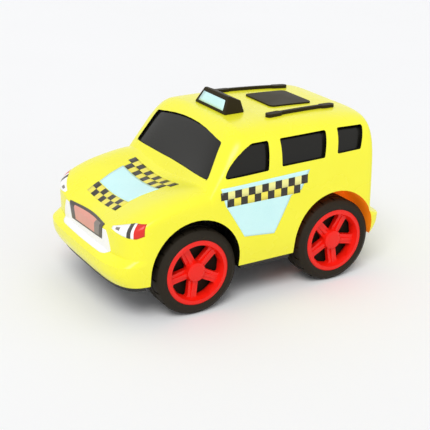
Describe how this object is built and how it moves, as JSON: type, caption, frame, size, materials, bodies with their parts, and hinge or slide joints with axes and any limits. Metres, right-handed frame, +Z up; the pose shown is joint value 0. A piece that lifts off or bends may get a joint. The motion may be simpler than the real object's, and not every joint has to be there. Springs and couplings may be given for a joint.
{
  "type": "toy taxi",
  "caption": "Chunky moulded toy taxi with a roof sign, dark windows, checker labels, spoked wheels and a geared flywheel drive on the rear axle.",
  "frame": {"origin": "middle of the footprint, at the bottom of the tyres", "axes": "+X towards the car's front, +Y towards the car's left side, +Z up"},
  "size_m": [0.212, 0.126, 0.132],
  "materials": {
    "body_yellow": "glossy lemon-yellow moulding",
    "glazing_dark": "dark smoked moulding",
    "trim_black": "satin black",
    "chassis_black": "matt black",
    "tyre_black": "matt soft black",
    "hub_red": "glossy red moulding",
    "axle_steel": "bright drawn steel",
    "screw_steel": "zinc plated",
    "gear_white": "natural nylon",
    "case_white": "plain white moulding",
    "flywheel_steel": "turned steel",
    "label_print": "printed gloss film"
  },
  "bodies": {
    "vehicle": {"body_shell": "body_yellow", "window_insert": "glazing_dark", "sunroof_panel": "glazing_dark", "roof_rail_left": "trim_black", "roof_rail_right": "trim_black", "sign_housing": "glazing_dark", "chassis": "chassis_black", "body_screws": "screw_steel", "gear_case": "case_white", "gear_cover": "case_white", "case_screws": "screw_steel", "mount_screws": "screw_steel"},
    "front_wheels": {"front_axle": "axle_steel", "front_left_hub": "hub_red", "front_left_tyre": "tyre_black", "front_right_hub": "hub_red", "front_right_tyre": "tyre_black"},
    "rear_wheels": {"rear_axle": "axle_steel", "rear_left_hub": "hub_red", "rear_left_tyre": "tyre_black", "rear_right_hub": "hub_red", "rear_right_tyre": "tyre_black", "axle_gear": "gear_white"},
    "counter_set": {"counter_shaft": "axle_steel", "counter_gear": "gear_white"},
    "flywheel_set": {"flywheel_shaft": "axle_steel", "flywheel_pinion": "gear_white", "flywheel": "flywheel_steel"}
  },
  "joints": [
    {"name": "front_axle_roll", "type": "hinge", "parent": "vehicle", "child": "front_wheels", "pos_m": [0.0458, 0, 0.03], "axis": [0, 1, 0], "continuous": true},
    {"name": "rear_axle_roll", "type": "hinge", "parent": "vehicle", "child": "rear_wheels", "pos_m": [-0.0642, 0, 0.03], "axis": [0, 1, 0], "continuous": true},
    {"name": "counter_gear_spin", "type": "hinge", "parent": "vehicle", "child": "counter_set", "pos_m": [-0.05417, 0, 0.04195], "axis": [0, 1, 0], "continuous": true},
    {"name": "flywheel_spin", "type": "hinge", "parent": "vehicle", "child": "flywheel_set", "pos_m": [-0.03881, 0, 0.04466], "axis": [0, 1, 0], "continuous": true}
  ],
  "couplings": [
    {"joint": "counter_gear_spin", "follows": "rear_axle_roll", "ratio": -3},
    {"joint": "flywheel_spin", "follows": "rear_axle_roll", "ratio": 9}
  ]
}
